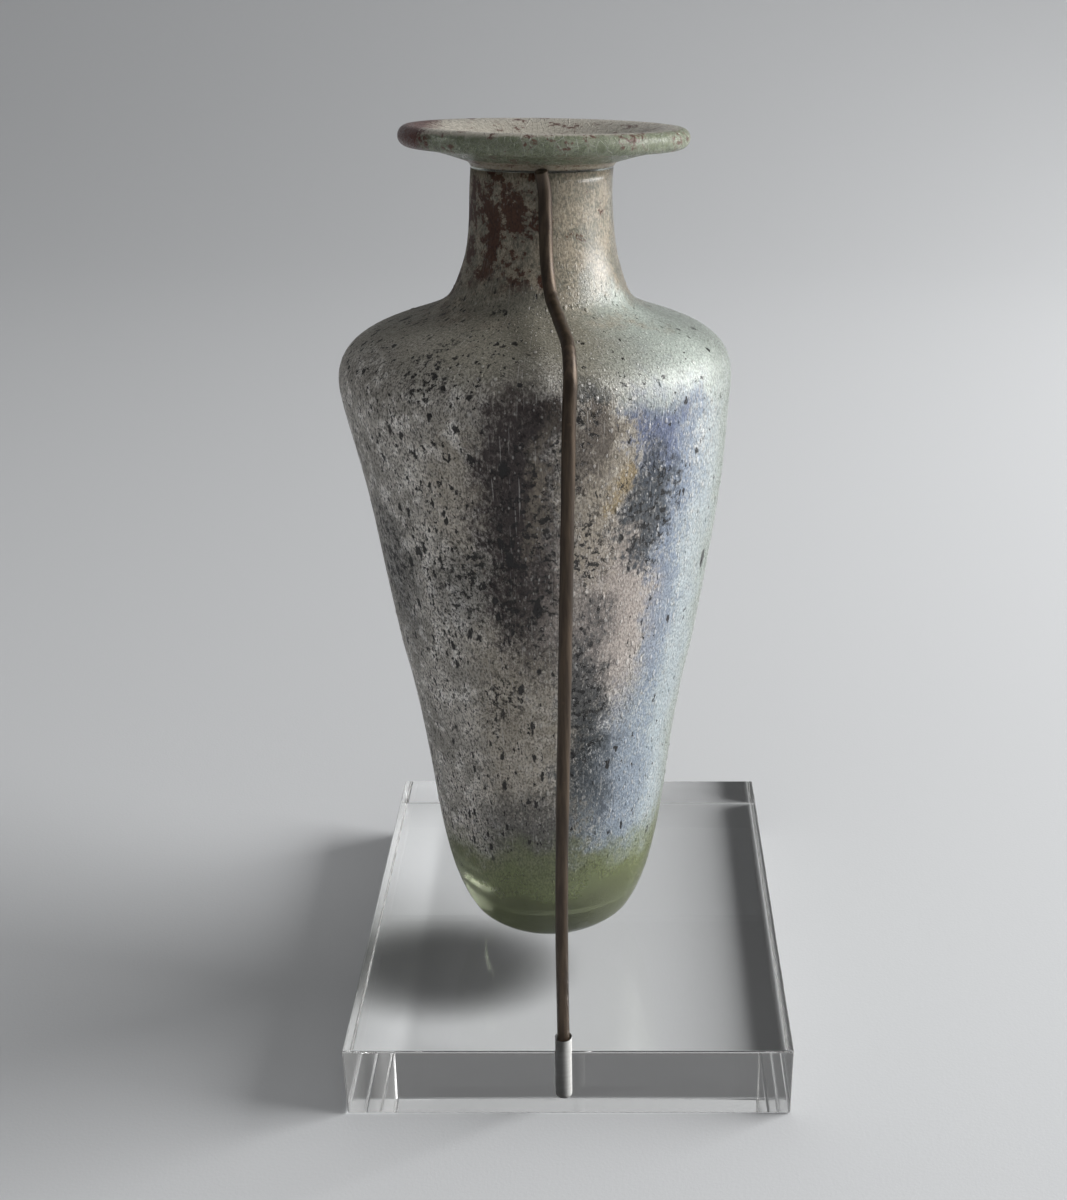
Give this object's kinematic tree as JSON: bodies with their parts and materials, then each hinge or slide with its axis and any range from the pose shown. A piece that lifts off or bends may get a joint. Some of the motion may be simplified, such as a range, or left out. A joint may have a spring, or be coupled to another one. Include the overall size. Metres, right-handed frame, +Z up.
{
  "type": "glass unguentarium on a rod stand",
  "caption": "Hollow hand-blown glass flask with a round base, tapering body, short neck and flared funnel rim, held upright by a bent metal rod set in a clear acrylic block.",
  "frame": {"origin": "centre of the base block's underside", "axes": "+Z up, -Y towards the side where the rod stands, X along the base block's short sides"},
  "size_m": [0.056, 0.064, 0.1169],
  "materials": {
    "weathered_glass": "pale green blown glass, pitted and bubbly, with a silvery crust, brown soil film and blue iridescence",
    "patinated_metal": "dark brown patina, lighter where rubbed",
    "clear_acrylic": "clear cast acrylic with polished edges and a frosted drilled hole"
  },
  "bodies": {
    "root": {"glass_bottle": "weathered_glass", "support_rod": "patinated_metal", "acrylic_base": "clear_acrylic"}
  },
  "joints": []
}
